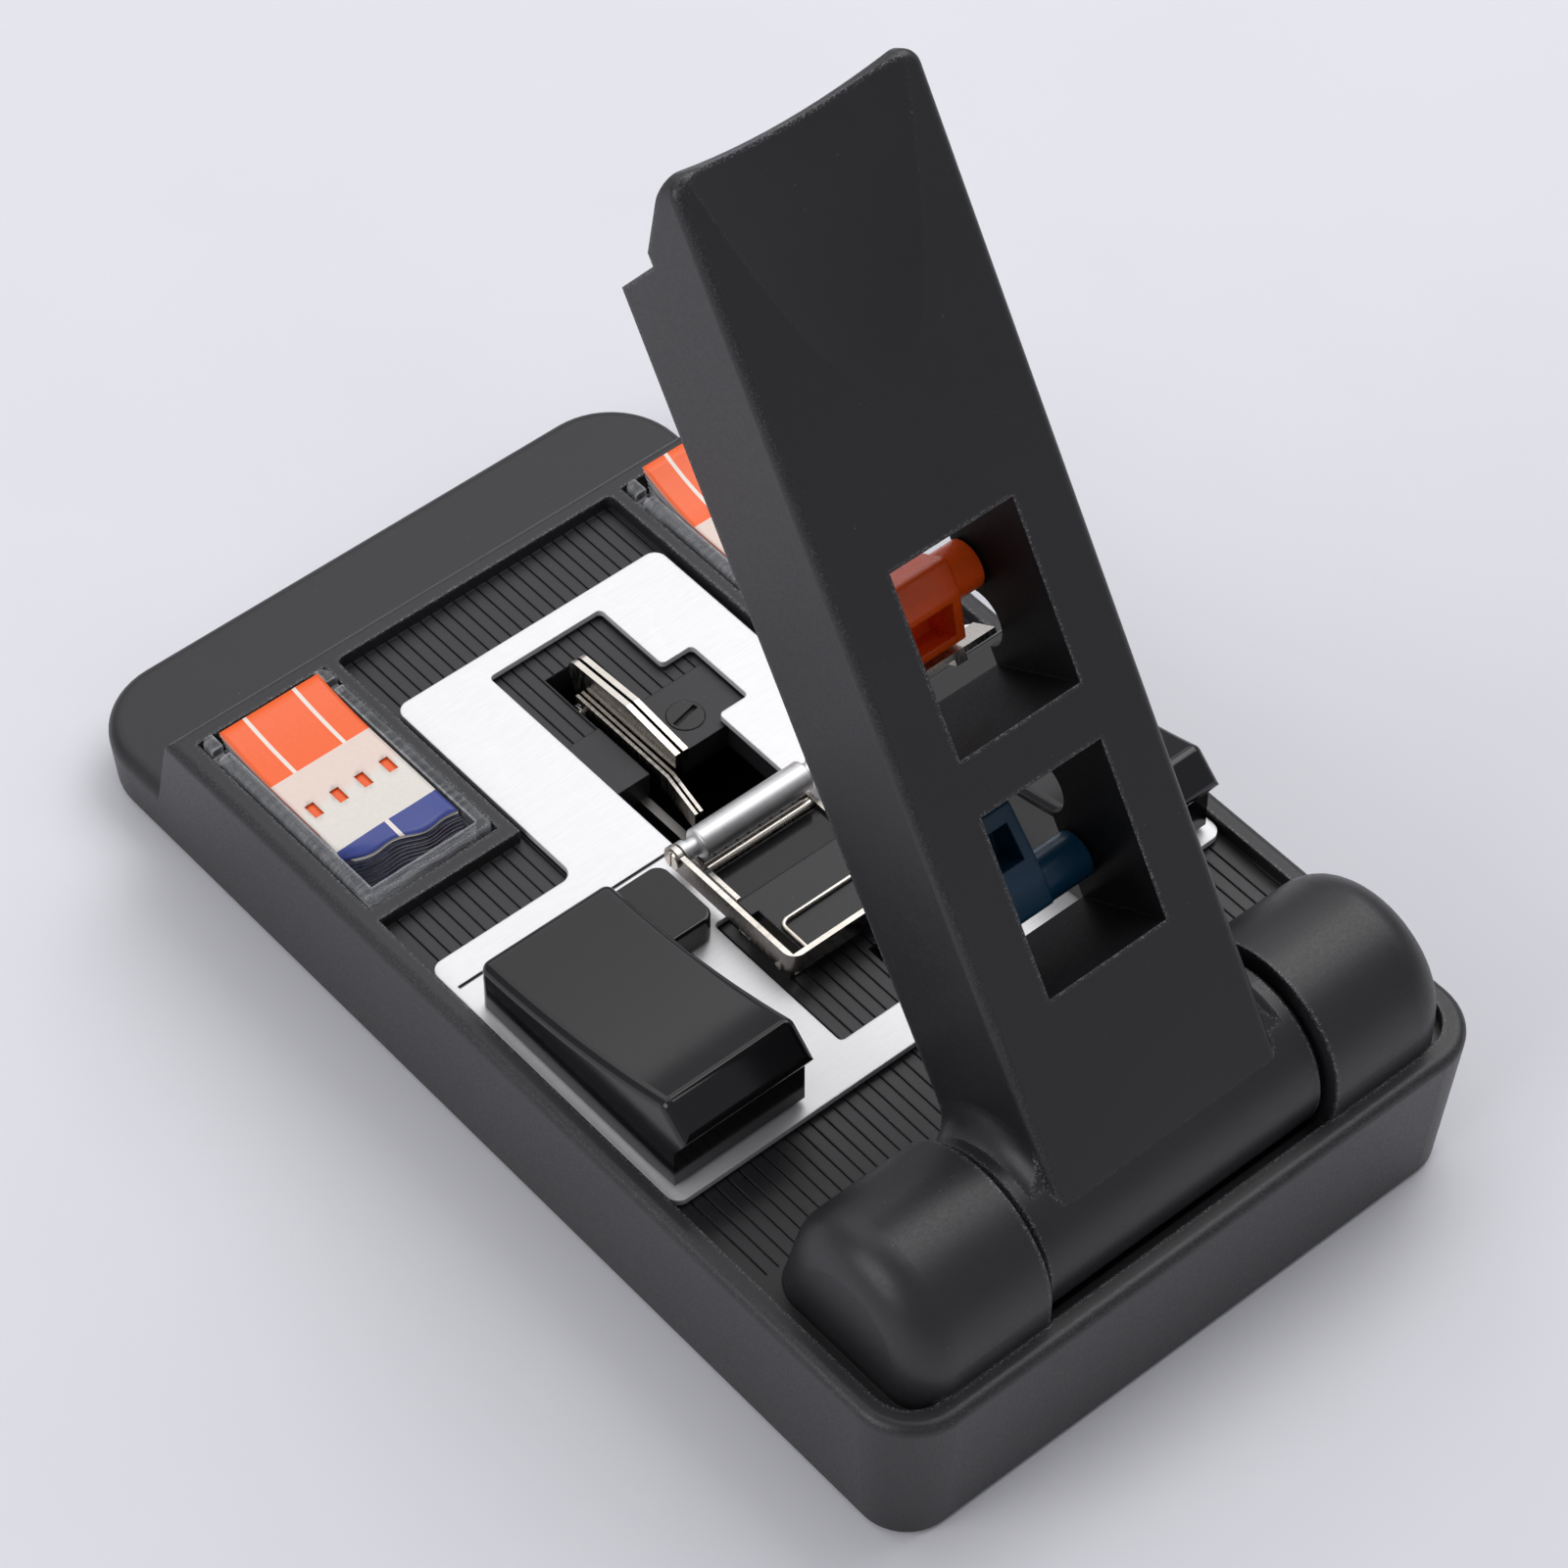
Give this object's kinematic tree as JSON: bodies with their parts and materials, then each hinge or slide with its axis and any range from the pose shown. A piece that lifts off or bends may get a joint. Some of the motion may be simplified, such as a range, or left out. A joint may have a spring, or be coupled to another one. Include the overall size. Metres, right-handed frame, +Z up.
{
  "type": "film tape splicer",
  "caption": "Desktop film tape splicer: a hinged hollow press lever over a ribbed deck with metal plate, film clamps, roller frame and tape trays.",
  "frame": {"origin": "on the table, under the middle of the base's outline", "axes": "+Z up, +Y from the palm rest towards the lever's hinge, +X to the user's right"},
  "size_m": [0.104, 0.1792, 0.1598],
  "materials": {
    "base_black": "fine satin grain",
    "gloss_black": "polished",
    "plate": "satin anodised",
    "steel": "nickel plated",
    "roller": "satin turned",
    "zinc": "bright zinc",
    "spring_steel": "oiled",
    "clear": "clear moulded styrene",
    "tape": "printed film",
    "orange": "moulded",
    "blue": "moulded",
    "rubber": "matte"
  },
  "bodies": {
    "base": {"base_shell": "base_black", "base_cover": "base_black", "cover_screws": "zinc", "rubber_feet": "rubber", "deck_plate": "plate", "registration_pins": "steel", "tape_tray_right": "clear", "tape_tray_left": "clear", "tape_stack_right": "tape", "tape_stack_left": "tape", "anvil_block": "gloss_black", "anvil_bar": "steel", "anvil_cheeks": "steel", "frame_bracket": "steel", "bracket_screws": "zinc", "frame_pivots": "steel", "clamp_pin_right": "zinc", "clamp_pin_left": "zinc", "clamp_spring_right": "spring_steel", "clamp_spring_left": "spring_steel", "finger_pin": "steel", "finger_spring": "spring_steel", "guide_strip": "spring_steel", "hinge_pin": "zinc", "lever_spring": "spring_steel"},
    "lever": {"lever_shell": "base_black", "orange_axle": "zinc", "blue_axle": "zinc", "orange_spring": "spring_steel", "blue_spring": "spring_steel"},
    "orange_press": {"orange_presser": "orange", "peel_blade": "steel"},
    "blue_press": {"blue_presser": "blue"},
    "right_clamp": {"film_clamp_right": "gloss_black"},
    "left_clamp": {"film_clamp_left": "gloss_black"},
    "roller_rocker": {"roller_frame": "steel", "roller_axle": "steel", "pressure_block": "base_black", "wire_bail": "steel"},
    "roller": {"press_roller": "roller"},
    "finger_lever": {"finger_plates": "steel", "finger_claws": "steel"},
    "adjuster": {"adjust_screw": "base_black"}
  },
  "joints": [
    {"name": "lever_hinge", "type": "hinge", "parent": "base", "child": "lever", "pos_m": [0, 0.0725, 0.0308], "axis": [-1, 0, 0], "range_deg": [-50, 0], "stiffness_Nm_per_rad": 0.08, "springref_deg": 28.65},
    {"name": "orange_presser_hinge", "type": "hinge", "parent": "lever", "child": "orange_press", "pos_m": [0, 0.02902, 0.09562], "axis": [1, 0, 0], "range_deg": [0, 12], "stiffness_Nm_per_rad": 0.01, "springref_deg": -17.19},
    {"name": "blue_presser_hinge", "type": "hinge", "parent": "lever", "child": "blue_press", "pos_m": [0, 0.05158, 0.06018], "axis": [-1, 0, 0], "range_deg": [0, 12], "stiffness_Nm_per_rad": 0.01, "springref_deg": -17.19},
    {"name": "right_clamp_rock", "type": "hinge", "parent": "base", "child": "right_clamp", "pos_m": [0.036, 0.036, 0.0276], "axis": [-1, 0, 0], "range_deg": [0, 12], "stiffness_Nm_per_rad": 0.02, "springref_deg": -20.05},
    {"name": "left_clamp_rock", "type": "hinge", "parent": "base", "child": "left_clamp", "pos_m": [-0.036, 0.036, 0.0276], "axis": [-1, 0, 0], "range_deg": [0, 12], "stiffness_Nm_per_rad": 0.02, "springref_deg": -20.05},
    {"name": "roller_frame_tilt", "type": "hinge", "parent": "base", "child": "roller_rocker", "pos_m": [0, 0.0212, 0.0274], "axis": [-1, 0, 0], "range_deg": [0, 32]},
    {"name": "roller_spin", "type": "hinge", "parent": "roller_rocker", "child": "roller", "pos_m": [0, -0.0006, 0.0293], "axis": [1, 0, 0], "continuous": true},
    {"name": "finger_lever_rock", "type": "hinge", "parent": "base", "child": "finger_lever", "pos_m": [0, -0.0335, 0.0228], "axis": [1, 0, 0], "range_deg": [0, 6], "stiffness_Nm_per_rad": 0.01, "springref_deg": -17.19},
    {"name": "adjust_screw_turn", "type": "hinge", "parent": "base", "child": "adjuster", "pos_m": [-0.007, -0.0226, 0.0244], "axis": [0, 0, 1], "range_deg": [-30, 90]}
  ]
}
